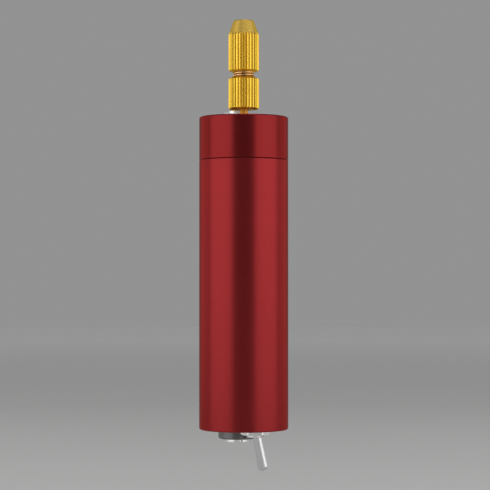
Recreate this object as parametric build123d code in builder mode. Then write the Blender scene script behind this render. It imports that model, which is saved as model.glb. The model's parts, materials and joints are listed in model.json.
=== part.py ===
from build123d import *
import os
from math import cos, pi, radians, sin, tan

# Electric mini drill with a pin-vise chuck. Millimetres.
# Origin: centre of the tube's rear face, on the spindle axis. +Z runs towards the chuck.
# -Y is the side from which the toggle switch sits nearest, +X is to the right of it.

os.makedirs("parts", exist_ok=True)

# ---------------------------------------------------------------- housing
BODY_D = 28.0
TUBE_LENGTH = 84.5
TUBE_BORE = 25.0
REAR_WALL = 3.0
CAP_LENGTH = 13.5
CAP_PLATE = 3.0
SPIGOT_D = 26.0
SPIGOT_LENGTH = 6.0
REAR_CHAMFER = 0.3
SEAM_CHAMFER = 0.18
SPIGOT_RELIEF = 0.2
HOLE_GAP = 0.1
SLIDE_GAP = 0.02
EASED = 0.3
FRONT_Z = TUBE_LENGTH + CAP_LENGTH
PLATE_Z = FRONT_Z - CAP_PLATE

# ---------------------------------------------------------------- motor, 370 class
CAN_D = 24.4
CAN_WALL = 1.0
CAN_LENGTH = 30.8
CAN_FRONT = 1.2
BOSS_D = 6.0
BOSS_HEIGHT = 2.0
SHAFT_D = 2.0
SHAFT_LOW = 61.0
SHAFT_TOP = 107.0
BUSH_D = 4.5
BUSH_CHAMFER = 0.2
SHAFT_CHAMFER = 0.15
RUNNING_GAP = 0.03
CAN_LOW = PLATE_Z - CAN_LENGTH
CAN_BORE_R = CAN_D / 2 - CAN_WALL
FRONT_BUSH_LOW = PLATE_Z - 1.5
MAGNET_THICK = 2.5
MAGNET_SPAN = 150
CORE_D = 16.6
CORE_LOW = 71.5
CORE_LENGTH = 17.0
NECK_WIDTH = 2.4
HUB_D = 5.2
SHOE_THICK = 1.1
COIL_END = 1.3
COIL_HUB_GAP = 0.7
COIL_SHOE_GAP = 0.9
TERMINAL_R = 8.0
TERMINAL_TIP = 56.5
TERMINAL_BLADE = (0.4, 2.4)
TERMINAL_HOLE_R = 0.5
TERMINAL_HOLE_Z = TERMINAL_TIP + 1.6
END_PLATE_H = 2.5
END_BOSS_R = 3.4
END_BOSS_H = 1.7
REAR_BUSH_LOW = CAN_LOW - 3.6
REAR_BUSH_TOP = CAN_LOW - 0.4
CLIP_T = 0.6
COMMUTATOR_D = 5.4
COMMUTATOR_LOW = 66.4
COMMUTATOR_LENGTH = 3.2
COMMUTATOR_T = 0.8
COMMUTATOR_SLOT = 0.35
WASHER_R = 2.0
FRONT_WASHER = (PLATE_Z - 2.4, PLATE_Z - 1.6)
REAR_WASHER = (CAN_LOW - 0.3, CAN_LOW + 0.4)
BRUSH_GAP = 0.05
BRUSH_BACK_R = 4.5
BRUSH_WIDTH = 1.6
BRUSH_HEIGHT = 2.0
BRUSH_ARM_T = 0.3
SLOT_WIDTH = 1.8
COIL_WIDTH = 5.6

# ---------------------------------------------------------------- cap screws, M2.5 pan head
SCREW_PITCH = 17.0
SCREW_ANGLE = 243
SCREW_D = 2.5
SCREW_HEAD_D = 4.7
SCREW_HEAD_H = 1.5
SCREW_RIM_H = 0.25
SCREW_TOP = 0.5
SCREW_LENGTH = 5.2
RECESS = (2.7, 0.65)
RECESS_DEPTH = 0.9
RECESS_TURN = 20

# ---------------------------------------------------------------- chuck, M7 x 0.75
SLEEVE_D = 2.6
SLEEVE_LOW = 97.4
SLEEVE_CHAMFER = 0.1
CHUCK_D = 9.56
CHUCK_LOW = 100.45
CHUCK_CHAMFER = 0.45
CHUCK_KNURL_TOP = 110.0
CHUCK_SHOULDER = 110.65
CHUCK_SHOULDER_R = 3.7
KNURL_TEETH = 32
KNURL_DEPTH = 0.32
THREAD_PITCH = 0.75
THREAD_D = 6.8
THREAD_ROOT_D = 6.1
THREAD_TOP = 118.2
NUT_LOW = 112.15
NUT_RIM = 0.1
NUT_KNURL_LOW = 112.8
NUT_CONE_LOW = 123.85
NOSE_Z = 128.5
NOSE_D = 6.5
NOSE_EDGE = 0.25
MOUTH_R = 2.15
MOUTH_LENGTH = 0.9
NUT_TAPER_LOW = THREAD_TOP + 2.4
NUT_BORE_D = 6.96
COLLET_BORE_D = 2.4
COLLET_TAIL_D = 4.7
COLLET_LOW = 109.6
COLLET_SLOT = 0.4
COLLET_SLOT_LOW = 111.6
COLLET_TIP = 128.2
COLLET_GAP = 0.05

# ---------------------------------------------------------------- toggle switch, M6 bushing
SWITCH = (3.55, -4.90)
SWITCH_ANGLE = 30.4
BUSHING_D = 5.8
BUSHING_ROOT_D = 5.3
BUSHING_LOW = -2.15
BUSHING_CHAMFER = 0.32
BUSHING_MOUTH_R = 2.2
SADDLE_Z = 6.8
SADDLE_BORE_R = 2.3
LIP_R = 1.75
LIP_LOW = -0.7
LIP_TOP = 0.18
HEX_AF = 8.0
OUTER_NUT_H = 1.4
INNER_NUT_H = 1.8
LOCK_WASHER_H = 0.5
LOCK_WASHER_R = 4.1
LOCK_TEETH = 14
LOCK_TOOTH = (1.2, 0.8)
PIVOT_Z = 1.2
LEVER_TILT = 12.5
LEVER_LENGTH = 14.2
LEVER_TIP_D = 3.25
LEVER_DOME_H = 1.28
LEVER_MOUTH_D = 2.6
LEVER_NECK_D = 2.0
LEVER_NECK_LENGTH = 1.5
LEVER_BALL_D = 4.0
LEVER_ARM_R = 0.85
LEVER_ARM_TOP = 6.9
ARM_HOLE_R = 0.5
ARM_HOLE_LOW = 2.8
PLUNGER_REACH = 9.1
PLUNGER_LOW = 5.2
PLUNGER_R = 0.45
SPRING_R = 0.34
SPRING_WIRE_R = 0.08
SPRING_PITCH = 0.35
SWITCH_BODY = (13.2, 7.9)
SWITCH_BODY_TOP = 16.8
SWITCH_WALL = 0.8
SWITCH_FLOOR = 1.6
FRAME_T = 0.5
FRAME_TAB = (0.4, 5.0)
FRAME_TAB_H = 7.0
BLADE_PITCH = 4.7
BLADE_TIP = 21.0
BLADE = (0.6, 2.0)
BLADE_HOLE_R = 0.5
BLADE_HOLE_Z = BLADE_TIP - 1.4
ROCKER_PIVOT_Z = 10.8
ROCKER_TILT = 8
ROCKER_ARM_ANGLE = 8
ROCKER_ARM = 5.0
ROCKER_T = 0.4
ROCKER_WIDTH = 2.2
ROCKER_GAP = 0.05

# ---------------------------------------------------------------- power socket, M8 x 0.75, 5.5 x 2.1 plug
JACK = (-2.10, 4.42)
RING_NUT_D = 11.9
RING_NUT_H = 3.3
BARREL_D = 7.8
BARREL_ROOT_D = 7.3
BARREL_BORE_D = 6.5
BARREL_LOW = -4.3
SOCKET_BORE_D = 5.6
SOCKET_PIN_D = 2.1
JACK_BODY_D = 9.8
JACK_BODY_TOP = 12.0
JACK_TAIL_TOP = 15.0
JACK_FLANGE_H = 1.2
JACK_DEPTH = 10.0
JACK_PIN_LOW = BARREL_LOW + 0.9
JACK_LUG_R = 3.4
CONTACT_WIDTH = 1.6
CONTACT_SLOT = (1.4, 1.8)
CONTACT_SLOT_R = 2.9
CONTACT_SHAPE = [(2.75, 1.0), (3.05, 1.0), (2.85, 3.0), (3.45, 6.5), (3.45, JACK_TAIL_TOP),
                 (3.1, JACK_TAIL_TOP), (3.1, 6.6), (2.5, 3.0)]
BARREL_SHOULDER = -RING_NUT_H + 0.4
BARREL_THREAD_SPAN = (-RING_NUT_H + 0.6, REAR_WALL - 0.2)
BARREL_CHAMFER = 0.12
RING_NUT_CHAMFERS = (0.35, 0.15)
JACK_PIN_CHAMFER = 0.5

# ---------------------------------------------------------------- leads
WIRE_D = 1.3
SOLDER_D = 2.2
SOLDER_H = 1.3


# ================================================================ helpers
def side_plane(at=(0, 0), angle=0.0):
    """The upright plane through a vertical axis; local x points along angle, local y is up."""
    a = radians(angle)
    return Plane(origin=(at[0], at[1], 0), x_dir=(cos(a), sin(a), 0), z_dir=(sin(a), -cos(a), 0))


def level(height, at=(0, 0), angle=0.0):
    """The level plane at a height, with its own centre and turn."""
    a = radians(angle)
    return Plane(origin=(at[0], at[1], height), x_dir=(cos(a), sin(a), 0), z_dir=(0, 0, 1))


def upright(at=(0, 0)):
    """A vertical axis."""
    return Axis((at[0], at[1], 0), (0, 0, 1))


def ring_profile(inner, outer, low, high, chamfer_low=0.0, chamfer_high=0.0):
    """Half section of a ring, with its outer edges chamfered."""
    points = [(inner, low), (outer - chamfer_low, low)]
    if chamfer_low:
        points.append((outer, low + chamfer_low))
    points.append((outer, high - chamfer_high))
    if chamfer_high:
        points.append((outer - chamfer_high, high))
    points.append((inner, high))
    Polygon(*points, align=None)


def thread_ridge(at, major, root, low, high):
    """One helical 60 degree ridge round a vertical axis, cut level at both ends."""
    base = root - 0.06
    start = low - THREAD_PITCH
    half_base = 0.44 * THREAD_PITCH
    half_crest = 0.09 * THREAD_PITCH
    with BuildPart() as ridge:
        with BuildLine() as path:
            Helix(THREAD_PITCH, high - low + 2 * THREAD_PITCH, root, center=(at[0], at[1], start))
        with BuildSketch(side_plane(at)):
            with Locations((0, start)):
                Polygon((base, -half_base), (major, -half_crest), (major, half_crest),
                        (base, half_base), align=None)
        sweep(path=path.line, is_frenet=True)
        with BuildSketch(level(low, at)):
            Circle(major + 1)
        extrude(amount=high - low, mode=Mode.INTERSECT)
    return ridge.part


def knurl_notches(low, high):
    """The vee grooves of a straight knurl on the chuck's diameter, as one cutter."""
    crest = CHUCK_D / 2
    half_width = 0.36 * pi * CHUCK_D / KNURL_TEETH
    over = 0.3
    half_over = half_width * (KNURL_DEPTH + over) / KNURL_DEPTH
    with BuildPart() as notches:
        with BuildSketch(level(low)):
            with PolarLocations(crest - KNURL_DEPTH, KNURL_TEETH):
                Polygon((0, 0), (KNURL_DEPTH + over, -half_over), (KNURL_DEPTH + over, half_over),
                        align=None)
        extrude(amount=high - low)
    return notches.part


def hex_nut_blank(at, angle, low, high):
    """A hexagon nut with both faces chamfered, before its hole is made."""
    corner_r = 0.975 * HEX_AF / 2 / cos(pi / 6)
    bevel = corner_r - HEX_AF / 2
    with BuildPart() as blank:
        with BuildSketch(level(low, at, angle)):
            RegularPolygon(HEX_AF / 2, 6, major_radius=False)
        extrude(amount=high - low)
        with BuildSketch(side_plane(at)):
            drop = bevel * tan(radians(30))
            Polygon((0, low), (HEX_AF / 2, low), (corner_r, low + drop), (corner_r, high - drop),
                    (HEX_AF / 2, high), (0, high), align=None)
        revolve(axis=upright(at), mode=Mode.INTERSECT)
    return blank.part


def bend_radii(route):
    """Corner radii as large as each pair of runs allows."""
    radii = []
    for before, corner, after in zip(route, route[1:], route[2:]):
        run_in = Vector(corner) - Vector(before)
        run_out = Vector(after) - Vector(corner)
        half_turn = radians(run_in.get_angle(run_out)) / 2
        radii.append(0.45 * min(run_in.length, run_out.length) / tan(half_turn))
    return radii


def along_switch(offset):
    """A point at an offset along the switch's long side, in plan."""
    a = radians(SWITCH_ANGLE)
    return (SWITCH[0] + offset * cos(a), SWITCH[1] + offset * sin(a))


def swing_plane(height, lean):
    """The switch's swing plane, with its origin at a height on the switch's axis and turned by lean."""
    a = radians(SWITCH_ANGLE)
    b = radians(lean)
    return Plane(origin=(SWITCH[0], SWITCH[1], height), x_dir=(cos(a) * cos(b), sin(a) * cos(b), sin(b)),
                 z_dir=(sin(a), -cos(a), 0))


def around(radius, angle):
    """A point given by radius and angle round the spindle, in plan."""
    return (radius * cos(radians(angle)), radius * sin(radians(angle)))


SCREWS = [around(SCREW_PITCH / 2, SCREW_ANGLE + 180 * side) for side in (0, 1)]
TERMINALS = [(TERMINAL_R, 0), (-TERMINAL_R, 0)]
BLADES = [along_switch(step * BLADE_PITCH) for step in (-1, 0, 1)]
JACK_LUG = (JACK[0] - JACK_LUG_R * sin(radians(SWITCH_ANGLE)),
            JACK[1] + JACK_LUG_R * cos(radians(SWITCH_ANGLE)))

# ================================================================ housing
with BuildPart() as body_tube:
    with BuildSketch(Plane.XZ):
        ring_profile(0, BODY_D / 2, 0, TUBE_LENGTH, REAR_CHAMFER, SEAM_CHAMFER)
    revolve(axis=Axis.Z)
    with BuildSketch(level(REAR_WALL)):
        Circle(TUBE_BORE / 2)
    extrude(amount=TUBE_LENGTH, mode=Mode.SUBTRACT)
    with BuildSketch(level(TUBE_LENGTH - SPIGOT_LENGTH - SPIGOT_RELIEF)):
        Circle(SPIGOT_D / 2 + SLIDE_GAP)
    extrude(amount=CAP_LENGTH, mode=Mode.SUBTRACT)
    with BuildSketch(Plane.XY):
        with Locations(SWITCH):
            Circle(BUSHING_D / 2 + HOLE_GAP)
        with Locations(JACK):
            Circle(BARREL_D / 2 + HOLE_GAP)
    extrude(amount=REAR_WALL, mode=Mode.SUBTRACT)
body_tube.part.label = "body_tube"
export_step(body_tube.part, "parts/body_tube.step")

with BuildPart() as front_cap:
    with BuildSketch(Plane.XZ):
        ring_profile(0, BODY_D / 2, TUBE_LENGTH, FRONT_Z, SEAM_CHAMFER, REAR_CHAMFER)
        ring_profile(0, SPIGOT_D / 2, TUBE_LENGTH - SPIGOT_LENGTH, TUBE_LENGTH, EASED)
    revolve(axis=Axis.Z)
    with BuildSketch(level(TUBE_LENGTH - SPIGOT_LENGTH)):
        Circle(CAN_D / 2 + HOLE_GAP)
    extrude(amount=PLATE_Z - TUBE_LENGTH + SPIGOT_LENGTH, mode=Mode.SUBTRACT)
    with BuildSketch(level(PLATE_Z)):
        Circle(BOSS_D / 2 + HOLE_GAP)
        with Locations(*SCREWS):
            Circle(SCREW_D / 2 + HOLE_GAP)
    extrude(amount=CAP_PLATE, mode=Mode.SUBTRACT)
front_cap.part.label = "front_cap"
export_step(front_cap.part, "parts/front_cap.step")

with BuildPart() as cap_screws:
    head_r = SCREW_HEAD_D / 2
    shank_r = SCREW_D / 2
    rim = FRONT_Z + SCREW_RIM_H
    crown = FRONT_Z + SCREW_HEAD_H
    foot = FRONT_Z - SCREW_LENGTH
    for place in SCREWS:
        with BuildSketch(side_plane(place)):
            with BuildLine():
                Polyline((0, crown), (0, foot), (shank_r - EASED, foot), (shank_r, foot + EASED),
                         (shank_r, FRONT_Z), (head_r, FRONT_Z), (head_r, rim))
                ThreePointArc((head_r, rim), (0.8 * head_r, FRONT_Z + 0.68 * SCREW_HEAD_H),
                              (SCREW_TOP * head_r, crown))
                Line((SCREW_TOP * head_r, crown), (0, crown))
            make_face()
        revolve(axis=upright(place))
        with BuildSketch(level(crown, place, SCREW_ANGLE + RECESS_TURN)):
            Rectangle(*RECESS)
            Rectangle(*reversed(RECESS))
        extrude(amount=-RECESS_DEPTH, mode=Mode.SUBTRACT)
cap_screws.part.label = "cap_screws"
export_step(cap_screws.part, "parts/cap_screws.step")

# ================================================================ motor
with BuildPart() as motor_can:
    with BuildSketch(Plane.XZ):
        ring_profile(0, CAN_D / 2, CAN_LOW, PLATE_Z, 0.0, 2 * EASED)
        ring_profile(0, BOSS_D / 2, PLATE_Z, PLATE_Z + BOSS_HEIGHT, 0.0, EASED)
    revolve(axis=Axis.Z)
    with BuildSketch(level(CAN_LOW)):
        Circle(CAN_BORE_R)
    extrude(amount=CAN_LENGTH - CAN_FRONT, mode=Mode.SUBTRACT)
    with BuildSketch(level(CAN_LOW)):
        Circle(BUSH_D / 2)
        with Locations(*SCREWS):
            Circle(SCREW_D / 2)
    extrude(amount=CAN_LENGTH + BOSS_HEIGHT, mode=Mode.SUBTRACT)
motor_can.part.label = "motor_can"
export_step(motor_can.part, "parts/motor_can.step")

with BuildPart() as motor_magnets:
    magnet_in = CAN_BORE_R - MAGNET_THICK
    with BuildSketch(level(CORE_LOW - 1)):
        for middle in (0, 180):
            with BuildLine():
                start = middle - MAGNET_SPAN / 2
                CenterArc((0, 0), CAN_BORE_R, start, MAGNET_SPAN)
                Line(around(CAN_BORE_R, start), around(magnet_in, start))
                CenterArc((0, 0), magnet_in, start, MAGNET_SPAN)
                Line(around(magnet_in, start + MAGNET_SPAN), around(CAN_BORE_R, start + MAGNET_SPAN))
            make_face()
    extrude(amount=CORE_LENGTH + 2)
motor_magnets.part.label = "motor_magnets"
export_step(motor_magnets.part, "parts/motor_magnets.step")

with BuildPart() as magnet_clips:
    clip_span = 180 - MAGNET_SPAN - 1
    with BuildSketch(level(CORE_LOW + 1)):
        for middle in (90, 270):
            with BuildLine():
                start = middle - clip_span / 2
                CenterArc((0, 0), CAN_BORE_R, start, clip_span)
                Line(around(CAN_BORE_R, start), around(CAN_BORE_R - CLIP_T, start))
                CenterArc((0, 0), CAN_BORE_R - CLIP_T, start, clip_span)
                Line(around(CAN_BORE_R - CLIP_T, start + clip_span), around(CAN_BORE_R, start + clip_span))
            make_face()
    extrude(amount=CORE_LENGTH - 2)
magnet_clips.part.label = "magnet_clips"
export_step(magnet_clips.part, "parts/magnet_clips.step")

with BuildPart() as front_bearing:
    with BuildSketch(Plane.XZ):
        ring_profile(SHAFT_D / 2 + RUNNING_GAP, BUSH_D / 2, FRONT_BUSH_LOW, PLATE_Z + BOSS_HEIGHT,
                     BUSH_CHAMFER, BUSH_CHAMFER)
    revolve(axis=Axis.Z)
front_bearing.part.label = "front_bearing"
export_step(front_bearing.part, "parts/front_bearing.step")

with BuildPart() as motor_end_cap:
    with BuildSketch(Plane.XZ):
        ring_profile(0, CAN_D / 2, CAN_LOW - END_PLATE_H, CAN_LOW, 2 * EASED)
        ring_profile(0, CAN_BORE_R, CAN_LOW, CAN_LOW + 2)
        ring_profile(0, END_BOSS_R, CAN_LOW - END_PLATE_H - END_BOSS_H, CAN_LOW - END_PLATE_H, EASED)
    revolve(axis=Axis.Z)
    with BuildSketch(level(REAR_BUSH_LOW)):
        Circle(BUSH_D / 2)
    extrude(amount=CAN_LENGTH, mode=Mode.SUBTRACT)
    with BuildSketch(level(CAN_LOW - END_PLATE_H)):
        with Locations(*TERMINALS):
            Rectangle(*TERMINAL_BLADE)
    extrude(amount=2 * END_PLATE_H, mode=Mode.SUBTRACT)
motor_end_cap.part.label = "motor_end_cap"
export_step(motor_end_cap.part, "parts/motor_end_cap.step")

with BuildPart() as rear_bearing:
    with BuildSketch(Plane.XZ):
        ring_profile(SHAFT_D / 2 + RUNNING_GAP, BUSH_D / 2, REAR_BUSH_LOW, REAR_BUSH_TOP, BUSH_CHAMFER,
                     BUSH_CHAMFER)
    revolve(axis=Axis.Z)
rear_bearing.part.label = "rear_bearing"
export_step(rear_bearing.part, "parts/rear_bearing.step")

with BuildPart() as motor_terminals:
    with BuildSketch(level(TERMINAL_TIP)):
        with Locations(*TERMINALS):
            Rectangle(*TERMINAL_BLADE)
    extrude(amount=COMMUTATOR_LOW + BRUSH_HEIGHT - TERMINAL_TIP)
    with BuildSketch(Plane.YZ.offset(-BODY_D / 2)):
        with Locations((0, TERMINAL_HOLE_Z)):
            Circle(TERMINAL_HOLE_R)
    extrude(amount=BODY_D, mode=Mode.SUBTRACT)
motor_terminals.part.label = "motor_terminals"
export_step(motor_terminals.part, "parts/motor_terminals.step")

brush_low = COMMUTATOR_LOW + (COMMUTATOR_LENGTH - BRUSH_HEIGHT) / 2
with BuildPart() as brush_arms:
    arm_out = TERMINAL_R - TERMINAL_BLADE[0] / 2
    with BuildSketch(level(brush_low + (BRUSH_HEIGHT - BRUSH_ARM_T) / 2)):
        for side in (1, -1):
            with Locations((side * (arm_out + BRUSH_BACK_R) / 2, 0)):
                Rectangle(arm_out - BRUSH_BACK_R, BRUSH_WIDTH)
    extrude(amount=BRUSH_ARM_T)
brush_arms.part.label = "brush_arms"
export_step(brush_arms.part, "parts/brush_arms.step")

with BuildPart() as brushes:
    brush_in = COMMUTATOR_D / 2 + BRUSH_GAP
    with BuildSketch(level(brush_low)):
        for side in (1, -1):
            with Locations((side * (brush_in + BRUSH_BACK_R) / 2, 0)):
                Rectangle(BRUSH_BACK_R - brush_in, BRUSH_WIDTH)
    extrude(amount=BRUSH_HEIGHT)
brushes.part.label = "brushes"
export_step(brushes.part, "parts/brushes.step")

# ================================================================ rotor
with BuildPart() as rotor_shaft:
    with BuildSketch(Plane.XZ):
        ring_profile(0, SHAFT_D / 2, SHAFT_LOW, SHAFT_TOP, SHAFT_CHAMFER, SHAFT_CHAMFER)
    revolve(axis=Axis.Z)
rotor_shaft.part.label = "rotor_shaft"
export_step(rotor_shaft.part, "parts/rotor_shaft.step")

with BuildPart() as armature_core:
    neck_length = CORE_D / 2 - SHOE_THICK / 2
    with BuildSketch(level(CORE_LOW)):
        Circle(CORE_D / 2)
        Circle(CORE_D / 2 - SHOE_THICK, mode=Mode.SUBTRACT)
        with PolarLocations(CORE_D / 2, 3, start_angle=60):
            Rectangle(4 * SHOE_THICK, SLOT_WIDTH, mode=Mode.SUBTRACT)
        Circle(HUB_D / 2)
        with PolarLocations(neck_length / 2, 3):
            Rectangle(neck_length, NECK_WIDTH)
        Circle(SHAFT_D / 2, mode=Mode.SUBTRACT)
    extrude(amount=CORE_LENGTH)
armature_core.part.label = "armature_core"
export_step(armature_core.part, "parts/armature_core.step")

with BuildPart() as armature_windings:
    coil_in = HUB_D / 2 + COIL_HUB_GAP
    coil_out = CORE_D / 2 - SHOE_THICK - COIL_SHOE_GAP
    with BuildSketch(level(CORE_LOW - COIL_END)):
        with PolarLocations((coil_in + coil_out) / 2, 3):
            RectangleRounded(coil_out - coil_in, COIL_WIDTH, 2 * EASED)
    extrude(amount=CORE_LENGTH + 2 * COIL_END)
    with BuildSketch(level(CORE_LOW)):
        with PolarLocations((coil_in + coil_out) / 2, 3):
            Rectangle(coil_out - coil_in + 1, NECK_WIDTH)
    extrude(amount=CORE_LENGTH, mode=Mode.SUBTRACT)
armature_windings.part.label = "armature_windings"
export_step(armature_windings.part, "parts/armature_windings.step")

with BuildPart() as commutator_hub:
    with BuildSketch(Plane.XZ):
        ring_profile(SHAFT_D / 2, COMMUTATOR_D / 2 - COMMUTATOR_T, COMMUTATOR_LOW - 0.2,
                     COMMUTATOR_LOW + COMMUTATOR_LENGTH + 0.1)
    revolve(axis=Axis.Z)
commutator_hub.part.label = "commutator_hub"
export_step(commutator_hub.part, "parts/commutator_hub.step")

with BuildPart() as commutator:
    with BuildSketch(level(COMMUTATOR_LOW)):
        Circle(COMMUTATOR_D / 2)
        Circle(COMMUTATOR_D / 2 - COMMUTATOR_T, mode=Mode.SUBTRACT)
        with PolarLocations(COMMUTATOR_D / 2, 3, start_angle=60):
            Rectangle(3 * COMMUTATOR_T, COMMUTATOR_SLOT, mode=Mode.SUBTRACT)
    extrude(amount=COMMUTATOR_LENGTH)
commutator.part.label = "commutator"
export_step(commutator.part, "parts/commutator.step")

with BuildPart() as thrust_washers:
    with BuildSketch(Plane.XZ):
        ring_profile(SHAFT_D / 2, WASHER_R, *FRONT_WASHER)
        ring_profile(SHAFT_D / 2, WASHER_R, *REAR_WASHER)
    revolve(axis=Axis.Z)
thrust_washers.part.label = "thrust_washers"
export_step(thrust_washers.part, "parts/thrust_washers.step")

# ================================================================ chuck
with BuildPart() as shaft_sleeve:
    with BuildSketch(Plane.XZ):
        ring_profile(SHAFT_D / 2, SLEEVE_D / 2, SLEEVE_LOW, SHAFT_TOP, SLEEVE_CHAMFER, SLEEVE_CHAMFER)
    revolve(axis=Axis.Z)
shaft_sleeve.part.label = "shaft_sleeve"
export_step(shaft_sleeve.part, "parts/shaft_sleeve.step")

chuck_thread = thread_ridge((0, 0), THREAD_D / 2, THREAD_ROOT_D / 2, CHUCK_SHOULDER, THREAD_TOP - 0.3)
with BuildPart() as chuck_body:
    crest = CHUCK_D / 2
    neck = THREAD_ROOT_D / 2
    with BuildSketch(Plane.XZ):
        Polygon((0, CHUCK_LOW), (crest - CHUCK_CHAMFER, CHUCK_LOW), (crest, CHUCK_LOW + CHUCK_CHAMFER),
                (crest, CHUCK_KNURL_TOP), (CHUCK_SHOULDER_R, CHUCK_SHOULDER), (neck, CHUCK_SHOULDER),
                (neck, THREAD_TOP - 0.2), (neck - 0.2, THREAD_TOP), (0, THREAD_TOP), align=None)
    revolve(axis=Axis.Z)
    add(knurl_notches(CHUCK_LOW - 1, CHUCK_KNURL_TOP + 1), mode=Mode.SUBTRACT)
    add(chuck_thread)
    with BuildSketch(level(CHUCK_LOW)):
        Circle(SLEEVE_D / 2)
    extrude(amount=SHAFT_TOP - CHUCK_LOW, mode=Mode.SUBTRACT)
    with BuildSketch(level(COLLET_LOW - 0.2)):
        Circle(COLLET_TAIL_D / 2 + COLLET_GAP)
    extrude(amount=THREAD_TOP - COLLET_LOW + 1, mode=Mode.SUBTRACT)
chuck_body.part.label = "chuck_body"
export_step(chuck_body.part, "parts/chuck_body.step")

cone_top = NOSE_Z - MOUTH_LENGTH
bore_r = NUT_BORE_D / 2
with BuildPart() as chuck_nut:
    crest = CHUCK_D / 2
    with BuildSketch(Plane.XZ):
        Polygon((bore_r, NUT_LOW), (bore_r + NUT_RIM, NUT_LOW), (crest, NUT_KNURL_LOW),
                (crest, NUT_CONE_LOW), (NOSE_D / 2, NOSE_Z - NOSE_EDGE), (NOSE_D / 2 - NOSE_EDGE, NOSE_Z),
                (MOUTH_R, NOSE_Z), (MOUTH_R, cone_top), (bore_r, NUT_TAPER_LOW), align=None)
    revolve(axis=Axis.Z)
    add(knurl_notches(NUT_LOW - 1, NUT_CONE_LOW + 2), mode=Mode.SUBTRACT)
chuck_nut.part.label = "chuck_nut"
export_step(chuck_nut.part, "parts/chuck_nut.step")

with BuildPart() as chuck_collet:
    tail_r = COLLET_TAIL_D / 2
    head_r = bore_r - COLLET_GAP
    tip_r = MOUTH_R - COLLET_GAP
    with BuildSketch(Plane.XZ):
        Polygon((0, COLLET_LOW), (tail_r, COLLET_LOW), (tail_r, THREAD_TOP + 0.4),
                (head_r, THREAD_TOP + 1.6), (head_r, NUT_TAPER_LOW), (tip_r, cone_top),
                (tip_r, COLLET_TIP), (0, COLLET_TIP), align=None)
    revolve(axis=Axis.Z)
    with BuildSketch(level(COLLET_LOW)):
        Circle(COLLET_BORE_D / 2)
    extrude(amount=NOSE_Z, mode=Mode.SUBTRACT)
    with BuildSketch(level(COLLET_SLOT_LOW)):
        Rectangle(BODY_D, COLLET_SLOT)
        Rectangle(COLLET_SLOT, BODY_D)
    extrude(amount=NOSE_Z, mode=Mode.SUBTRACT)
chuck_collet.part.label = "chuck_collet"
export_step(chuck_collet.part, "parts/chuck_collet.step")

# ================================================================ toggle switch
bushing_thread = thread_ridge(SWITCH, BUSHING_D / 2, BUSHING_ROOT_D / 2, BUSHING_LOW + BUSHING_CHAMFER,
                              SADDLE_Z - 0.1)
with BuildPart() as switch_bushing:
    with BuildSketch(side_plane(SWITCH)):
        ring_profile(0, BUSHING_ROOT_D / 2, BUSHING_LOW, SADDLE_Z, BUSHING_CHAMFER)
    revolve(axis=upright(SWITCH))
    add(bushing_thread)
    ball_r = LEVER_BALL_D / 2 + COLLET_GAP
    with BuildSketch(side_plane(SWITCH)):
        Polygon((0, BUSHING_LOW), (BUSHING_MOUTH_R, BUSHING_LOW), (LIP_R, LIP_LOW), (LIP_R, LIP_TOP),
                (ball_r, LIP_TOP), (ball_r, PIVOT_Z + ball_r), (SADDLE_BORE_R, SADDLE_Z),
                (0, SADDLE_Z), align=None)
    revolve(axis=upright(SWITCH), mode=Mode.SUBTRACT)
switch_bushing.part.label = "switch_bushing"
export_step(switch_bushing.part, "parts/switch_bushing.step")

with BuildPart() as switch_outer_nut:
    add(hex_nut_blank(SWITCH, 0, -OUTER_NUT_H, 0))
    with BuildSketch(level(-OUTER_NUT_H, SWITCH)):
        Circle(BUSHING_D / 2)
    extrude(amount=OUTER_NUT_H, mode=Mode.SUBTRACT)
switch_outer_nut.part.label = "switch_outer_nut"
export_step(switch_outer_nut.part, "parts/switch_outer_nut.step")

with BuildPart() as switch_lock_washer:
    with BuildSketch(level(REAR_WALL, SWITCH)):
        Circle(LOCK_WASHER_R)
        with PolarLocations(LOCK_WASHER_R, LOCK_TEETH):
            Rectangle(*LOCK_TOOTH)
        Circle(BUSHING_D / 2 + SLIDE_GAP, mode=Mode.SUBTRACT)
    extrude(amount=LOCK_WASHER_H)
switch_lock_washer.part.label = "switch_lock_washer"
export_step(switch_lock_washer.part, "parts/switch_lock_washer.step")

with BuildPart() as switch_inner_nut:
    inner_low = REAR_WALL + LOCK_WASHER_H
    add(hex_nut_blank(SWITCH, SWITCH_ANGLE, inner_low, inner_low + INNER_NUT_H))
    with BuildSketch(level(inner_low, SWITCH)):
        Circle(BUSHING_D / 2)
    extrude(amount=INNER_NUT_H, mode=Mode.SUBTRACT)
switch_inner_nut.part.label = "switch_inner_nut"
export_step(switch_inner_nut.part, "parts/switch_inner_nut.step")

with BuildPart() as switch_frame:
    tab_t, tab_width = FRAME_TAB
    with BuildSketch(level(SADDLE_Z, SWITCH, SWITCH_ANGLE)):
        Rectangle(SWITCH_BODY[0] + 2 * tab_t, tab_width)
        Rectangle(*SWITCH_BODY)
        Circle(SADDLE_BORE_R + HOLE_GAP, mode=Mode.SUBTRACT)
    extrude(amount=FRAME_T)
    with BuildSketch(level(SADDLE_Z, SWITCH, SWITCH_ANGLE)):
        with GridLocations(SWITCH_BODY[0] + tab_t, 1, 2, 1):
            Rectangle(*FRAME_TAB)
    extrude(amount=FRAME_TAB_H)
switch_frame.part.label = "switch_frame"
export_step(switch_frame.part, "parts/switch_frame.step")

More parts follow.
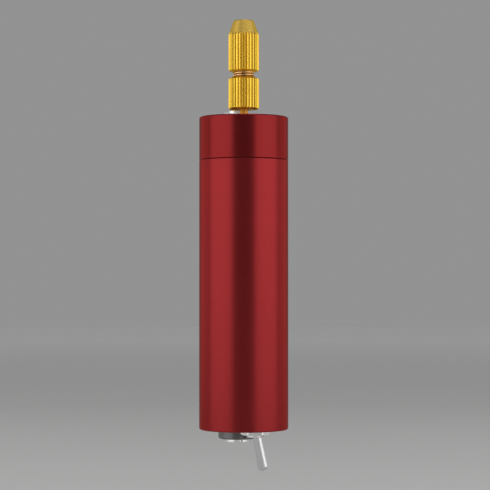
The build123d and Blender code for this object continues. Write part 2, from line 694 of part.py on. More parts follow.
with BuildPart() as switch_body:
    floor_z = SWITCH_BODY_TOP - SWITCH_FLOOR
    with BuildSketch(level(SADDLE_Z + FRAME_T, SWITCH, SWITCH_ANGLE)):
        Rectangle(*SWITCH_BODY)
    extrude(amount=SWITCH_BODY_TOP - SADDLE_Z - FRAME_T)
    with BuildSketch(level(SADDLE_Z + FRAME_T, SWITCH, SWITCH_ANGLE)):
        Rectangle(SWITCH_BODY[0] - 2 * SWITCH_WALL, SWITCH_BODY[1] - 2 * SWITCH_WALL)
    extrude(amount=floor_z - SADDLE_Z - FRAME_T, mode=Mode.SUBTRACT)
    with BuildSketch(level(floor_z, SWITCH, SWITCH_ANGLE)):
        with GridLocations(BLADE_PITCH, 1, 3, 1):
            Rectangle(*BLADE)
    extrude(amount=SWITCH_FLOOR, mode=Mode.SUBTRACT)
switch_body.part.label = "switch_body"
export_step(switch_body.part, "parts/switch_body.step")

with BuildPart() as switch_terminals:
    with BuildSketch(level(ROCKER_PIVOT_Z, SWITCH, SWITCH_ANGLE)):
        with GridLocations(BLADE_PITCH, 1, 3, 1):
            Rectangle(*BLADE)
    extrude(amount=BLADE_TIP - ROCKER_PIVOT_Z)
    with BuildSketch(side_plane(SWITCH, SWITCH_ANGLE + 90)):
        with Locations((0, BLADE_HOLE_Z)):
            Circle(BLADE_HOLE_R)
    extrude(amount=SWITCH_BODY[0], both=True, mode=Mode.SUBTRACT)
switch_terminals.part.label = "switch_terminals"
export_step(switch_terminals.part, "parts/switch_terminals.step")

# The rocker hangs under the middle blade, tipped so that the arm on the lever's inner side is level.
with BuildPart() as switch_rocker:
    drop = ROCKER_ARM * tan(radians(ROCKER_ARM_ANGLE))
    top = -ROCKER_GAP
    base = top - ROCKER_T
    with BuildSketch(swing_plane(ROCKER_PIVOT_Z, -ROCKER_TILT)):
        Polygon((-ROCKER_ARM, top - drop), (0, top), (ROCKER_ARM, top - drop), (ROCKER_ARM, base - drop),
                (0, base), (-ROCKER_ARM, base - drop), align=None)
    extrude(amount=ROCKER_WIDTH / 2, both=True)
switch_rocker.part.label = "switch_rocker"
export_step(switch_rocker.part, "parts/switch_rocker.step")

# The lever's own plane: x across it in the swing plane, y up its axis into the switch.
lever_plane = swing_plane(PIVOT_Z, LEVER_TILT)
lever_axis = Axis(lever_plane.origin, lever_plane.y_dir)
with BuildPart() as switch_lever:
    tip_r = LEVER_TIP_D / 2
    neck_r = LEVER_NECK_D / 2
    dome_low = LEVER_LENGTH - LEVER_DOME_H
    with BuildSketch(lever_plane):
        with BuildLine():
            Line((0, -LEVER_LENGTH), (0, ARM_HOLE_LOW))
            ThreePointArc((0, -LEVER_LENGTH), (0.62 * tip_r, -dome_low - 0.79 * LEVER_DOME_H),
                          (tip_r, -dome_low))
            Polyline((tip_r, -dome_low), (LEVER_MOUTH_D / 2, BUSHING_LOW - PIVOT_Z),
                     (neck_r, -LEVER_NECK_LENGTH), (LEVER_ARM_R, -LEVER_NECK_LENGTH),
                     (LEVER_ARM_R, LEVER_ARM_TOP), (ARM_HOLE_R, LEVER_ARM_TOP),
                     (ARM_HOLE_R, ARM_HOLE_LOW), (0, ARM_HOLE_LOW))
        make_face()
        with BuildLine():
            CenterArc((0, 0), LEVER_BALL_D / 2, -90, 180)
            Line((0, LEVER_BALL_D / 2), (0, -LEVER_BALL_D / 2))
        make_face()
    revolve(axis=lever_axis)
switch_lever.part.label = "switch_lever"
export_step(switch_lever.part, "parts/switch_lever.step")

with BuildPart() as switch_plunger:
    with BuildSketch(lever_plane):
        with BuildLine():
            Polyline((0, PLUNGER_REACH), (0, PLUNGER_LOW), (PLUNGER_R, PLUNGER_LOW),
                     (PLUNGER_R, PLUNGER_REACH - PLUNGER_R))
            CenterArc((0, PLUNGER_REACH - PLUNGER_R), PLUNGER_R, 0, 90)
        make_face()
    revolve(axis=lever_axis)
switch_plunger.part.label = "switch_plunger"
export_step(switch_plunger.part, "parts/switch_plunger.step")

with BuildPart() as plunger_spring:
    coil_low = ARM_HOLE_LOW + SPRING_WIRE_R
    with BuildLine() as coil_path:
        Helix(SPRING_PITCH, PLUNGER_LOW - SPRING_WIRE_R - coil_low, SPRING_R,
              center=lever_plane.from_local_coords((0, coil_low, 0)), direction=lever_plane.y_dir)
    with BuildSketch(Plane(origin=coil_path.line @ 0, z_dir=coil_path.line % 0)):
        Circle(SPRING_WIRE_R)
    sweep(path=coil_path.line, is_frenet=True)
plunger_spring.part.label = "plunger_spring"
export_step(plunger_spring.part, "parts/plunger_spring.step")

# ================================================================ power socket
barrel_thread = thread_ridge(JACK, BARREL_D / 2 - SLIDE_GAP, BARREL_ROOT_D / 2, *BARREL_THREAD_SPAN)
with BuildPart() as jack_barrel:
    with BuildSketch(side_plane(JACK)):
        ring_profile(BARREL_BORE_D / 2, BARREL_ROOT_D / 2, BARREL_LOW, REAR_WALL + JACK_FLANGE_H)
        ring_profile(BARREL_BORE_D / 2, BARREL_D / 2, BARREL_LOW, BARREL_SHOULDER, BARREL_CHAMFER)
        ring_profile(BARREL_BORE_D / 2, JACK_BODY_D / 2, REAR_WALL, REAR_WALL + JACK_FLANGE_H)
    revolve(axis=upright(JACK))
    add(barrel_thread)
jack_barrel.part.label = "jack_barrel"
export_step(jack_barrel.part, "parts/jack_barrel.step")

with BuildPart() as jack_ring_nut:
    with BuildSketch(side_plane(JACK)):
        ring_profile(BARREL_D / 2, RING_NUT_D / 2, -RING_NUT_H, 0, *RING_NUT_CHAMFERS)
    revolve(axis=upright(JACK))
jack_ring_nut.part.label = "jack_ring_nut"
export_step(jack_ring_nut.part, "parts/jack_ring_nut.step")

with BuildPart() as jack_insulator:
    with BuildSketch(side_plane(JACK)):
        ring_profile(0, BARREL_BORE_D / 2, BARREL_LOW + 0.2, JACK_BODY_TOP)
        ring_profile(0, JACK_BODY_D / 2, REAR_WALL + JACK_FLANGE_H, JACK_BODY_TOP, 0.0, EASED)
    revolve(axis=upright(JACK))
    with BuildSketch(level(BARREL_LOW, JACK)):
        Circle(SOCKET_BORE_D / 2)
    extrude(amount=JACK_DEPTH, mode=Mode.SUBTRACT)
    with BuildSketch(level(BARREL_LOW + JACK_DEPTH, JACK)):
        Circle(SOCKET_PIN_D / 2)
    extrude(amount=JACK_DEPTH, mode=Mode.SUBTRACT)
    with BuildSketch(level(0, JACK, SWITCH_ANGLE + 90)):
        with Locations((CONTACT_SLOT_R, 0)):
            Rectangle(*CONTACT_SLOT)
    extrude(amount=JACK_BODY_TOP, mode=Mode.SUBTRACT)
jack_insulator.part.label = "jack_insulator"
export_step(jack_insulator.part, "parts/jack_insulator.step")

with BuildPart() as jack_pin:
    with BuildSketch(side_plane(JACK)):
        ring_profile(0, SOCKET_PIN_D / 2, JACK_PIN_LOW, JACK_TAIL_TOP, JACK_PIN_CHAMFER)
    revolve(axis=upright(JACK))
jack_pin.part.label = "jack_pin"
export_step(jack_pin.part, "parts/jack_pin.step")

with BuildPart() as jack_sleeve_contact:
    with BuildSketch(side_plane(JACK, SWITCH_ANGLE + 90)):
        Polygon(*CONTACT_SHAPE, align=None)
    extrude(amount=CONTACT_WIDTH / 2, both=True)
jack_sleeve_contact.part.label = "jack_sleeve_contact"
export_step(jack_sleeve_contact.part, "parts/jack_sleeve_contact.step")

# ================================================================ leads inside the tube
JACK_END = JACK_TAIL_TOP + SOLDER_H
BLADE_END = BLADE_TIP + SOLDER_H
MOTOR_END = TERMINAL_TIP - SOLDER_H
SOLDER_ON = [(JACK, JACK_TAIL_TOP), (JACK_LUG, JACK_TAIL_TOP), (BLADES[1], BLADE_TIP),
             (BLADES[2], BLADE_TIP), (TERMINALS[0], MOTOR_END), (TERMINALS[1], MOTOR_END)]
with BuildPart() as solder_joints:
    for spot, low in SOLDER_ON:
        flat = WIRE_D / 2 + 0.1
        with BuildSketch(side_plane(spot)):
            with BuildLine():
                Polyline((flat, low), (0, low), (0, low + SOLDER_H), (flat, low + SOLDER_H))
                ThreePointArc((flat, low + SOLDER_H), (SOLDER_D / 2, low + SOLDER_H / 2), (flat, low))
            make_face()
        revolve(axis=upright(spot))
solder_joints.part.label = "solder_joints"
export_step(solder_joints.part, "parts/solder_joints.step")

JUMPER_TOP = 30.5
RED_JUMPER = [(*JACK, JACK_END), (*JACK, JUMPER_TOP), (*BLADES[1], JUMPER_TOP), (*BLADES[1], BLADE_END)]
RED_LEAD = [(*BLADES[2], BLADE_END), (*BLADES[2], 28.0), (10.0, -3.2, 35.0), (10.3, -1.2, 43.0),
            (8.0, 0.0, 49.0), (8.0, 0.0, MOTOR_END)]
BLACK_LEAD = [(*JACK_LUG, JACK_END), (*JACK_LUG, 22.0), (-6.2, 8.3, 30.0), (-9.6, 4.6, 40.0),
              (-8.0, 0.0, 48.5), (-8.0, 0.0, MOTOR_END)]

LEADS = {"red_jumper_wire": RED_JUMPER, "red_motor_wire": RED_LEAD, "black_motor_wire": BLACK_LEAD}

for name, points in LEADS.items():
    radii = bend_radii(points)
    with BuildPart() as lead:
        with BuildLine() as route:
            FilletPolyline(*points, radius=radii)
        with BuildSketch(Plane(origin=route.line @ 0, z_dir=route.line % 0)):
            Circle(WIRE_D / 2)
        sweep(path=route.line)
    lead.part.label = name
    export_step(lead.part, f"parts/{name}.step")
    wanted = pi * (WIRE_D / 2) ** 2 * sum(edge.length for edge in route.edges())
    print(name, "bend radii", [round(r, 1) for r in radii])
    print(name, "volume ratio", round(lead.part.volume / wanted, 4))
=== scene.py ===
import json
from math import cos, radians, sin

import bpy
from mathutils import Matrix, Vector


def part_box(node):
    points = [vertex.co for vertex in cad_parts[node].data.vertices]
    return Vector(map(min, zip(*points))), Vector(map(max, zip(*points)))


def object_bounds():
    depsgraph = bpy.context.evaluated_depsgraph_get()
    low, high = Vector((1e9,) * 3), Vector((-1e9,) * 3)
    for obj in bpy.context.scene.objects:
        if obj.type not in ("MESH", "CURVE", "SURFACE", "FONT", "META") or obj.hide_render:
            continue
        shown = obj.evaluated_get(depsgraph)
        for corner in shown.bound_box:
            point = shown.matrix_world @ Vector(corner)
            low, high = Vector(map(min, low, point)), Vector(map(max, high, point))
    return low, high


# An electric mini drill with a pin-vise chuck: red anodised tube, brass chuck, toggle switch and DC socket.
# Lengths are in metres in the CAD frame: origin at the centre of the tube's rear face, +Z to the chuck.

MM = 0.001
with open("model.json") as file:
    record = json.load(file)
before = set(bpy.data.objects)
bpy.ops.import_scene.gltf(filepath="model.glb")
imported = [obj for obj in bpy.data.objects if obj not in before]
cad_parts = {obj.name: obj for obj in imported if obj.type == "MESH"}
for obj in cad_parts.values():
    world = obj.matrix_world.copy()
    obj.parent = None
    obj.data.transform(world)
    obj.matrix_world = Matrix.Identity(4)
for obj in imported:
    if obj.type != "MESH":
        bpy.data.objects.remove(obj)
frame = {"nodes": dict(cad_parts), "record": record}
CAD_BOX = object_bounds()
NODES = frame["nodes"]
MIDDLE_Z = (CAD_BOX[0][2] + CAD_BOX[1][2]) / 2


def axis_of(node):
    """Plan position of a turned piece's own axis."""
    low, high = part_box(node)
    return (low.x + high.x) / 2, (low.y + high.y) / 2


BODY_LOW, BODY_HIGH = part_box("body_tube")
SEAM_Z = BODY_HIGH.z
FRONT_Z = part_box("front_cap")[1].z
SWITCH_AXIS = axis_of("switch_outer_nut")
JACK_AXIS = axis_of("jack_ring_nut")


# ---------------------------------------------------------------- node helpers
class Shader:
    """A Principled material and short ways to wire procedural nodes into it."""

    def __init__(self, name, color, metallic=0.0, roughness=0.4):
        self.material = bpy.data.materials.new(name)
        self.material.use_nodes = True
        self.tree = self.material.node_tree
        self.bsdf = self.tree.nodes["Principled BSDF"]
        self.bsdf.inputs["Base Color"].default_value = (*color, 1)
        self.bsdf.inputs["Metallic"].default_value = metallic
        self.bsdf.inputs["Roughness"].default_value = roughness

    def node(self, kind, **settings):
        made = self.tree.nodes.new("ShaderNode" + kind)
        for key, value in settings.items():
            setattr(made, key, value)
        return made

    def put(self, socket, value):
        """Links a socket to an output, or sets its value."""
        if isinstance(value, bpy.types.NodeSocket):
            self.tree.links.new(value, socket)
        else:
            socket.default_value = value

    def math(self, operation, a, b=0.0, clamp=False):
        made = self.node("Math", operation=operation, use_clamp=clamp)
        self.put(made.inputs[0], a)
        self.put(made.inputs[1], b)
        return made.outputs[0]

    def place(self):
        """The point on the object, in metres."""
        return self.node("TexCoord").outputs["Object"]

    def parts(self):
        """The point's x, y and z."""
        split = self.node("SeparateXYZ")
        self.put(split.inputs[0], self.place())
        return split.outputs

    def radius(self, axis=(0, 0)):
        """Distance from an upright axis."""
        x, y, _ = self.parts()
        dx = self.math("SUBTRACT", x, axis[0])
        dy = self.math("SUBTRACT", y, axis[1])
        return self.math("SQRT", self.math("ADD", self.math("POWER", dx, 2), self.math("POWER", dy, 2)))

    def upright(self):
        """1 on surfaces that stand upright, 0 on those that slope or lie flat."""
        split = self.node("SeparateXYZ")
        self.put(split.inputs[0], self.node("NewGeometry").outputs["Normal"])
        made = self.node("MapRange", interpolation_type="SMOOTHSTEP")
        made.inputs["From Min"].default_value = 0.25
        made.inputs["From Max"].default_value = 0.08
        self.put(made.inputs["Value"], self.math("ABSOLUTE", split.outputs[2]))
        return made.outputs["Result"]

    def noise(self, size, stretch=(1, 1, 1), detail=3.0, rough=0.55, where=None):
        """Noise from 0 to 1 with features of about size metres, stretched along the axes."""
        scale = self.node("Mapping", vector_type="TEXTURE")
        scale.inputs["Scale"].default_value = tuple(size * s for s in stretch)
        self.put(scale.inputs["Vector"], where if where is not None else self.place())
        made = self.node("TexNoise")
        made.inputs["Scale"].default_value = 1.0
        made.inputs["Detail"].default_value = detail
        made.inputs["Roughness"].default_value = rough
        self.put(made.inputs["Vector"], scale.outputs[0])
        return made.outputs["Fac"]

    def rings(self, pitch, axis=(0, 0), detail=2.0):
        """Fine lines that run round an upright axis, on its sides and its ends, as turning leaves them."""
        together = self.node("CombineXYZ")
        self.put(together.inputs[0], self.radius(axis))
        self.put(together.inputs[2], self.parts()[2])
        return self.noise(pitch, detail=detail, where=together.outputs[0])

    def ramp(self, value, *stops):
        """Maps a value through stops of (position, grey or colour)."""
        made = self.node("ValToRGB")
        elements = made.color_ramp.elements
        while len(elements) < len(stops):
            elements.new(0.5)
        for element, (position, shade) in zip(elements, stops):
            element.position = position
            element.color = (*shade, 1) if isinstance(shade, tuple) else (shade, shade, shade, 1)
        self.put(made.inputs[0], value)
        return made.outputs["Color"]

    def spread(self, value, low, high):
        """Takes 0..1 to low..high."""
        made = self.node("MapRange")
        made.inputs["To Min"].default_value = low
        made.inputs["To Max"].default_value = high
        self.put(made.inputs["Value"], value)
        return made.outputs["Result"]

    def mix(self, factor, a, b):
        made = self.node("Mix", data_type="RGBA")
        self.put(made.inputs["Factor"], factor)
        self.put(made.inputs[6], (*a, 1) if isinstance(a, tuple) else a)
        self.put(made.inputs[7], (*b, 1) if isinstance(b, tuple) else b)
        return made.outputs[2]

    def band(self, value, middle, width):
        """1 where value is within width of middle, falling smoothly to 0."""
        away = self.math("ABSOLUTE", self.math("SUBTRACT", value, middle))
        made = self.node("MapRange", interpolation_type="SMOOTHSTEP")
        made.inputs["From Min"].default_value = width
        made.inputs["From Max"].default_value = width * 0.4
        self.put(made.inputs["Value"], away)
        return made.outputs["Result"]

    def color(self, value):
        self.put(self.bsdf.inputs["Base Color"], value)

    def rough(self, value):
        self.put(self.bsdf.inputs["Roughness"], value)

    def metal(self, value):
        self.put(self.bsdf.inputs["Metallic"], value)

    def bump(self, *layers):
        """Bumps from (height, depth in metres, strength) layers, one on the other."""
        normal = None
        for height, depth, strength in layers:
            made = self.node("Bump")
            made.inputs["Distance"].default_value = depth
            made.inputs["Strength"].default_value = strength
            self.put(made.inputs["Height"], height)
            if normal is not None:
                self.put(made.inputs["Normal"], normal)
            normal = made.outputs["Normal"]
        self.put(self.bsdf.inputs["Normal"], normal)


def scaled(color, factor):
    return tuple(min(1.0, c * factor) for c in color)


# ---------------------------------------------------------------- materials
ANODISED_EDGE = (1.0, 0.55, 0.53)
WORN_RED = (0.62, 0.28, 0.26)
RIM_WEAR_WIDTH = 0.22 * MM
# Dirt and painted shade along the seam where the cap meets the tube.
SEAM_DIRT_AND_SHADE = (0.08, 0.012, 0.012)
SEAM_DIRT_AND_SHADE_WIDTH = 0.2 * MM
TURNING_PITCH = 0.55 * MM
SATIN_GRAIN = 0.3 * MM


def anodised(name, color, rim, roughness):
    """Dyed anodised aluminium: satin grain on turning lines, dirt and painted shade dark in the seam, a
    little worn at its rim.
    """
    s = Shader(name, color, 1.0, roughness)
    s.bsdf.inputs["Specular Tint"].default_value = (*ANODISED_EDGE, 1)
    cloud = s.noise(9 * MM, (1, 1, 2.2), 4.0)
    grain = s.noise(SATIN_GRAIN, detail=2.0)
    lines = s.rings(TURNING_PITCH, detail=3.0)
    fine = s.rings(0.12 * MM)
    dye = s.mix(cloud, scaled(color, 0.9), scaled(color, 1.1))
    dye = s.mix(s.spread(lines, 0.0, 0.34), dye, scaled(color, 0.7))
    dye = s.mix(s.spread(grain, 0.0, 0.16), dye, scaled(color, 0.6))
    z = s.parts()[2]
    patchy = s.ramp(s.noise(0.8 * MM, detail=4.0), (0.42, 0.15), (0.62, 1.0))
    wear = s.math("MULTIPLY", s.math("MULTIPLY", s.band(z, rim, RIM_WEAR_WIDTH), patchy), 0.18)
    dye = s.mix(wear, dye, WORN_RED)
    # Dirt and painted shade: a dark band along the seam, also made less metallic there.
    seam = s.math("MULTIPLY", s.band(z, SEAM_Z, SEAM_DIRT_AND_SHADE_WIDTH), 0.4)
    s.color(s.mix(seam, dye, SEAM_DIRT_AND_SHADE))
    s.metal(s.math("SUBTRACT", 1.0, s.math("MULTIPLY", seam, 0.6)))
    s.rough(s.math("ADD", s.spread(cloud, roughness - 0.03, roughness + 0.03), s.spread(fine, -0.03, 0.03)))
    s.bump((grain, 0.010 * MM, 0.15), (lines, 0.012 * MM, 0.25))
    return s.material


BRASS = (0.97, 0.63, 0.075)
SLEEVE_BRASS = (1.0, 0.50, 0.06)
BRASS_EDGE = (0.98, 0.82, 0.38)
# Painted shade and highlight colours: sloping faces, knurl grooves, thread roots and thread crests.
SLOPE_SHADE_BRASS = (0.58, 0.40, 0.13)
GROOVE_SHADE_BRASS = (0.58, 0.33, 0.012)
THREAD_ROOT_SHADE_BRASS = (0.30, 0.12, 0.02)
THREAD_CREST_HIGHLIGHT_BRASS = (1.0, 0.72, 0.38)
NUT_LOW, NUT_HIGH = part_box("chuck_nut")
CHUCK_R = (NUT_HIGH.x - NUT_LOW.x) / 2
KNURL_DEPTH = 0.34 * MM
KNURL_REACH = 0.6 * MM
THREAD_ROOT_R = 3.05 * MM
THREAD_HEIGHT = 0.35 * MM
THREAD_MIDDLE = NUT_LOW.z + 2.15 * MM
THREAD_SPAN = 9 * MM


def brass(name, color, crest_r=None, roughness=0.36, metallic=1.0):
    """Turned brass: fine tool lines, a little tarnish, painted shade on faces that slope or lie flat, down
    in the knurl and in the thread's roots, and a painted highlight on the thread's crests.
    """
    s = Shader(name, color, metallic, roughness)
    s.bsdf.inputs["Specular Tint"].default_value = (*BRASS_EDGE, 1)
    lines = s.rings(0.5 * MM, detail=1.0)
    tarnish = s.noise(3.0 * MM, (1, 1, 2.5), 1.0)
    sides = s.upright()
    turned = s.math("MULTIPLY", lines, s.spread(sides, 0.32, 0.05))
    tone = s.mix(s.ramp(tarnish, (0.35, 0.0), (0.75, 1.0)), color, scaled(color, 0.88))
    tone = s.mix(turned, tone, scaled(color, 0.66))
    # Painted shade: faces that slope or lie flat are drawn half towards a darker brass.
    tone = s.mix(sides, s.mix(0.5, tone, SLOPE_SHADE_BRASS), tone)
    if crest_r:
        # Painted shade down in the knurl's grooves, darker the deeper the groove.
        radius = s.radius()
        down = s.math("DIVIDE", s.math("SUBTRACT", crest_r, radius), KNURL_DEPTH, clamp=True)
        knurled = s.math("GREATER_THAN", radius, crest_r - KNURL_REACH)
        groove_shade = s.math("MULTIPLY", s.math("MULTIPLY", down, sides), knurled)
        tone = s.mix(s.math("MULTIPLY", groove_shade, 0.85), tone, GROOVE_SHADE_BRASS)
        # Painted shade in the thread's roots and a painted highlight on its crests, graded by radius.
        height = s.math("DIVIDE", s.math("SUBTRACT", radius, THREAD_ROOT_R), THREAD_HEIGHT, clamp=True)
        inside = s.math("LESS_THAN", radius, THREAD_ROOT_R + 1.2 * THREAD_HEIGHT)
        threaded = s.math("MULTIPLY", inside, s.band(s.parts()[2], THREAD_MIDDLE, THREAD_SPAN))
        tone = s.mix(threaded, tone, s.mix(height, THREAD_ROOT_SHADE_BRASS, THREAD_CREST_HIGHLIGHT_BRASS))
    s.color(tone)
    s.rough(s.spread(tarnish, roughness - 0.03, roughness + 0.06))
    s.bump((turned, 0.01 * MM, 0.3))
    return s.material


def plated(name, color, roughness, axis=(0, 0), ring=0.12 * MM, ring_depth=0.006 * MM, dirt=0.25):
    """Plated metal: nearly smooth, with turning lines round its axis, hazy patches and fine scratches."""
    s = Shader(name, color, 1.0, roughness)
    lines = s.rings(ring, axis)
    haze = s.noise(1.1 * MM, (1, 1, 1.5), 4.0)
    scratch = s.ramp(s.noise(0.07 * MM, (22, 1.4, 1), 2.0), (0.66, 0.0), (0.70, 1.0))
    s.color(s.mix(s.math("MULTIPLY", haze, dirt), color, scaled(color, 0.7)))
    scratched = s.math("MULTIPLY", scratch, 0.08)
    s.rough(s.math("ADD", s.spread(haze, roughness * 0.7, roughness * 1.5), scratched))
    s.bump((lines, ring_depth, 0.35), (scratch, 0.004 * MM, 0.2))
    return s.material


def rolled_steel(name, color, roughness=0.38):
    """Zinc-plated sheet: broad spangle, drawing marks along Z."""
    s = Shader(name, color, 1.0, roughness)
    spangle = s.node("TexVoronoi")
    spangle.inputs["Scale"].default_value = 1 / (1.3 * MM)
    s.put(spangle.inputs["Vector"], s.place())
    marks = s.noise(0.12 * MM, (1, 1, 30), 3.0)
    s.color(s.mix(s.math("MULTIPLY", spangle.outputs["Distance"], 0.5), color, scaled(color, 0.72)))
    s.rough(s.spread(marks, roughness - 0.08, roughness + 0.1))
    s.bump((marks, 0.01 * MM, 0.3))
    return s.material


def moulded(name, color, roughness=0.45, grain=0.09 * MM):
    """Moulded plastic: fine spark-eroded grain and slightly uneven gloss."""
    s = Shader(name, color, 0.0, roughness)
    fine = s.noise(grain, detail=2.0)
    cloud = s.noise(3 * MM, detail=3.0)
    s.color(s.mix(cloud, scaled(color, 0.85), scaled(color, 1.2)))
    s.rough(s.spread(cloud, roughness - 0.06, roughness + 0.08))
    s.bump((fine, 0.012 * MM, 0.35))
    return s.material


def wound_copper(name, color):
    """Enamelled wire laid side by side round the poles: ridges across the winding's length."""
    s = Shader(name, color, 0.8, 0.28)
    strands = s.node("TexWave", wave_type="BANDS", bands_direction="Z", wave_profile="SIN")
    strands.inputs["Scale"].default_value = 1 / (0.9 * MM)
    strands.inputs["Distortion"].default_value = 1.2
    strands.inputs["Detail"].default_value = 2.0
    s.put(strands.inputs["Vector"], s.place())
    s.color(s.mix(strands.outputs["Fac"], scaled(color, 0.45), scaled(color, 1.25)))
    s.rough(s.spread(s.noise(0.8 * MM), 0.2, 0.4))
    s.bump((strands.outputs["Fac"], 0.08 * MM, 0.9))
    s.bsdf.inputs["Coat Weight"].default_value = 0.6
    s.bsdf.inputs["Coat Roughness"].default_value = 0.15
    return s.material


def laminated(name, color):
    """A stack of thin steel stampings: fine layers along Z with varnish in between."""
    s = Shader(name, color, 1.0, 0.42)
    z_only = s.node("CombineXYZ")
    s.put(z_only.inputs[2], s.parts()[2])
    layers = s.noise(0.25 * MM, detail=0.0, where=z_only.outputs[0])
    s.color(s.mix(layers, scaled(color, 0.5), scaled(color, 1.25)))
    s.rough(s.spread(layers, 0.3, 0.55))
    s.bump((layers, 0.05 * MM, 0.7))
    return s.material


def sintered(name, color, metallic=1.0, roughness=0.5, grain=0.14 * MM):
    """Pressed powder: open grain, matt, with darker pores."""
    s = Shader(name, color, metallic, roughness)
    pores = s.node("TexVoronoi")
    pores.inputs["Scale"].default_value = 1 / grain
    s.put(pores.inputs["Vector"], s.place())
    tone = s.noise(1.5 * MM, detail=4.0)
    pore = s.ramp(pores.outputs["Distance"], (0.05, 0.0), (0.45, 1.0))
    s.color(s.mix(pore, scaled(color, 0.45), s.mix(tone, scaled(color, 0.85), scaled(color, 1.1))))
    s.rough(s.spread(tone, roughness - 0.08, roughness + 0.12))
    s.bump((pore, 0.02 * MM, 0.5))
    return s.material


def soft_solder(name, color):
    """Tin solder: bright, slightly frosted and lumpy."""
    s = Shader(name, color, 1.0, 0.25)
    lumps = s.noise(0.6 * MM, detail=2.0)
    frost = s.noise(0.08 * MM, detail=3.0)
    s.color(s.mix(frost, scaled(color, 0.75), scaled(color, 1.1)))
    s.rough(s.spread(frost, 0.15, 0.45))
    s.bump((lumps, 0.08 * MM, 0.5), (frost, 0.01 * MM, 0.4))
    return s.material


NICKEL = (0.86, 0.85, 0.84)

MATERIALS = {
    "red_anodised": anodised("red_anodised", (0.27, 0.023, 0.025), BODY_LOW.z, 0.31),
    "red_anodised_cap": anodised("red_anodised_cap", (0.22, 0.018, 0.019), FRONT_Z, 0.28),
    "screw_steel": plated("screw_steel", (0.93, 0.93, 0.94), 0.30),
    "motor_steel": rolled_steel("motor_steel", (0.62, 0.62, 0.63)),
    "magnet": sintered("magnet", (0.10, 0.10, 0.11), 0.3, 0.62),
    "spring_steel": plated("spring_steel", (0.62, 0.62, 0.64), 0.25),
    "bronze": sintered("bronze", (0.55, 0.36, 0.17), 1.0, 0.42),
    "black_nylon": moulded("black_nylon", (0.022, 0.022, 0.024)),
    "tinned_brass": plated("tinned_brass", (0.76, 0.74, 0.68), 0.30),
    "copper": plated("copper", (0.80, 0.38, 0.22), 0.28),
    "carbon": sintered("carbon", (0.035, 0.035, 0.037), 0.2, 0.55, 0.08 * MM),
    "shaft_steel": plated("shaft_steel", (0.74, 0.74, 0.75), 0.18),
    "core_steel": laminated("core_steel", (0.42, 0.42, 0.44)),
    "enamelled_copper": wound_copper("enamelled_copper", (0.55, 0.20, 0.07)),
    "white_nylon": moulded("white_nylon", (0.80, 0.79, 0.74), 0.4),
    "sleeve_brass": brass("sleeve_brass", SLEEVE_BRASS, roughness=0.5, metallic=0.3),
    "brass": brass("brass", BRASS, CHUCK_R),
    "nickel": plated("nickel", NICKEL, 0.13, SWITCH_AXIS),
    "zinc_steel": rolled_steel("zinc_steel", (0.72, 0.72, 0.74), 0.32),
    "phenolic": moulded("phenolic", (0.32, 0.035, 0.028), 0.3),
    "lever_chrome": plated("lever_chrome", (0.66, 0.66, 0.67), 0.15, SWITCH_AXIS),
    "black_nut": plated("black_nut", (0.15, 0.148, 0.146), 0.26, JACK_AXIS, 0.2 * MM, 0.012 * MM),
    "solder": soft_solder("solder", (0.74, 0.75, 0.77)),
    "red_pvc": moulded("red_pvc", (0.55, 0.02, 0.02), 0.35),
    "black_pvc": moulded("black_pvc", (0.015, 0.015, 0.016), 0.38),
}
JACK_NICKEL = plated("jack_nickel", NICKEL, 0.13, JACK_AXIS)


def dress_nodes():
    """Gives each CAD node its material."""
    for subpart in frame["record"]["subparts"]:
        node = NODES[subpart["node"]]
        node.data.materials.clear()
        wanted = MATERIALS[subpart["material_slot"]]
        if subpart["node"].startswith("jack_") and subpart["material_slot"] == "nickel":
            wanted = JACK_NICKEL
        node.data.materials.append(wanted)


dress_nodes()


# ---------------------------------------------------------------- camera
CAMERA_DISTANCE = 0.566
CAMERA_HEIGHT = 0.049
LENS = 132.2
SENSOR = 36.0
LOOK_UP = 8.8 * MM
LOOK_RIGHT = 0.4 * MM


def place_camera():
    data = bpy.data.cameras.new("camera")
    data.lens = LENS
    data.sensor_width = SENSOR
    camera = bpy.data.objects.new("camera", data)
    camera.location = (LOOK_RIGHT, -CAMERA_DISTANCE, CAMERA_HEIGHT)
    ahead = Vector((0, CAMERA_DISTANCE, LOOK_UP))
    camera.rotation_euler = ahead.to_track_quat("-Z", "Y").to_euler()
    bpy.context.scene.collection.objects.link(camera)
    bpy.context.scene.camera = camera


# ---------------------------------------------------------------- stage and light
FLOOR_DROP = 0.045
FLOOR_HALF = 3.0
FLOOR_FADE = (0.3, 0.75)
FLOOR_NEAR = (0.66, 0.66, 0.655)
# The far floor is painted paler, standing in for the light that falls off with distance.
FLOOR_FAR_PAINTED_LIGHT = (1.0, 1.0, 1.0)


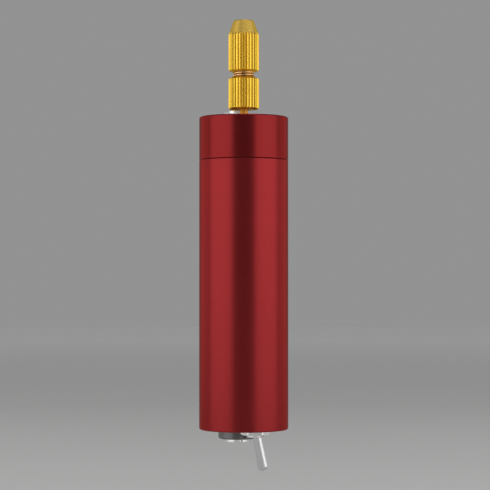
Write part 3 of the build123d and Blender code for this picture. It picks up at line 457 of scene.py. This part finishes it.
def pale_floor():
    """A wide matt floor below the toggle's tip, painted paler far off to stand in for the lamps' light
    falling away: the drill is shown held upright.
    """
    s = Shader("floor_paint", FLOOR_NEAR, 0.0, 0.75)
    cloud = s.noise(0.12, detail=3.0)
    near = s.mix(cloud, scaled(FLOOR_NEAR, 0.98), scaled(FLOOR_NEAR, 1.02))
    away = s.ramp(s.math("DIVIDE", s.radius(), FLOOR_HALF), (FLOOR_FADE[0], 0.0), (FLOOR_FADE[1], 1.0))
    # Painted light: the floor's colour grows paler with distance, making up for the lamps' light falling
    # off.
    s.color(s.mix(away, near, FLOOR_FAR_PAINTED_LIGHT))
    s.bump((s.noise(0.6 * MM, detail=2.0), 0.05 * MM, 0.2))
    z = CAD_BOX[0][2] - FLOOR_DROP
    corners = [(x * FLOOR_HALF, y * FLOOR_HALF, z) for x, y in ((-1, -1), (1, -1), (1, 1), (-1, 1))]
    mesh = bpy.data.meshes.new("floor")
    mesh.from_pydata(corners, [], [(0, 1, 2, 3)])
    mesh.materials.append(s.material)
    floor = bpy.data.objects.new("floor", mesh)
    bpy.context.scene.collection.objects.link(floor)


def softbox(name, azimuth, elevation, distance, width, height, power):
    """A rectangular light aimed at the middle of the drill. Azimuth 0 is the camera's side."""
    middle = Vector((0, 0, MIDDLE_Z))
    a, e = radians(azimuth), radians(elevation)
    away = Vector((sin(a) * cos(e), -cos(a) * cos(e), sin(e))) * distance
    data = bpy.data.lights.new(name, "AREA")
    data.shape = "RECTANGLE"
    data.size = width
    data.size_y = height
    data.energy = power
    light = bpy.data.objects.new(name, data)
    light.location = middle + away
    light.rotation_euler = (-away).to_track_quat("-Z", "Y").to_euler()
    bpy.context.scene.collection.objects.link(light)


KEY_AZIMUTH = 62
KEY = {"elevation": 1, "distance": 0.75, "width": 0.98, "height": 1.2, "power": 4.7}
BACK_AZIMUTH = 122
BACK = {"elevation": 3, "distance": 0.95, "width": 0.72, "height": 0.9, "power": 1.3}
OVERHEAD = {"elevation": 75, "distance": 1.1, "width": 0.8, "height": 0.8, "power": 2.5}
OVERHEAD_AZIMUTH = 20
STUDIO_LIGHT = 0.29


def light_stage():
    for side, name in ((-1, "left"), (1, "right")):
        softbox("key_" + name, side * KEY_AZIMUTH, **KEY)
        softbox("back_" + name, side * BACK_AZIMUTH, **BACK)
    softbox("overhead", OVERHEAD_AZIMUTH, **OVERHEAD)
    world = bpy.data.worlds.new("studio")
    world.use_nodes = True
    background = world.node_tree.nodes["Background"]
    background.inputs["Color"].default_value = (1.0, 1.0, 1.0, 1)
    background.inputs["Strength"].default_value = STUDIO_LIGHT
    bpy.context.scene.world = world


place_camera()
pale_floor()
light_stage()
bpy.context.scene.view_settings.view_transform = "Standard"
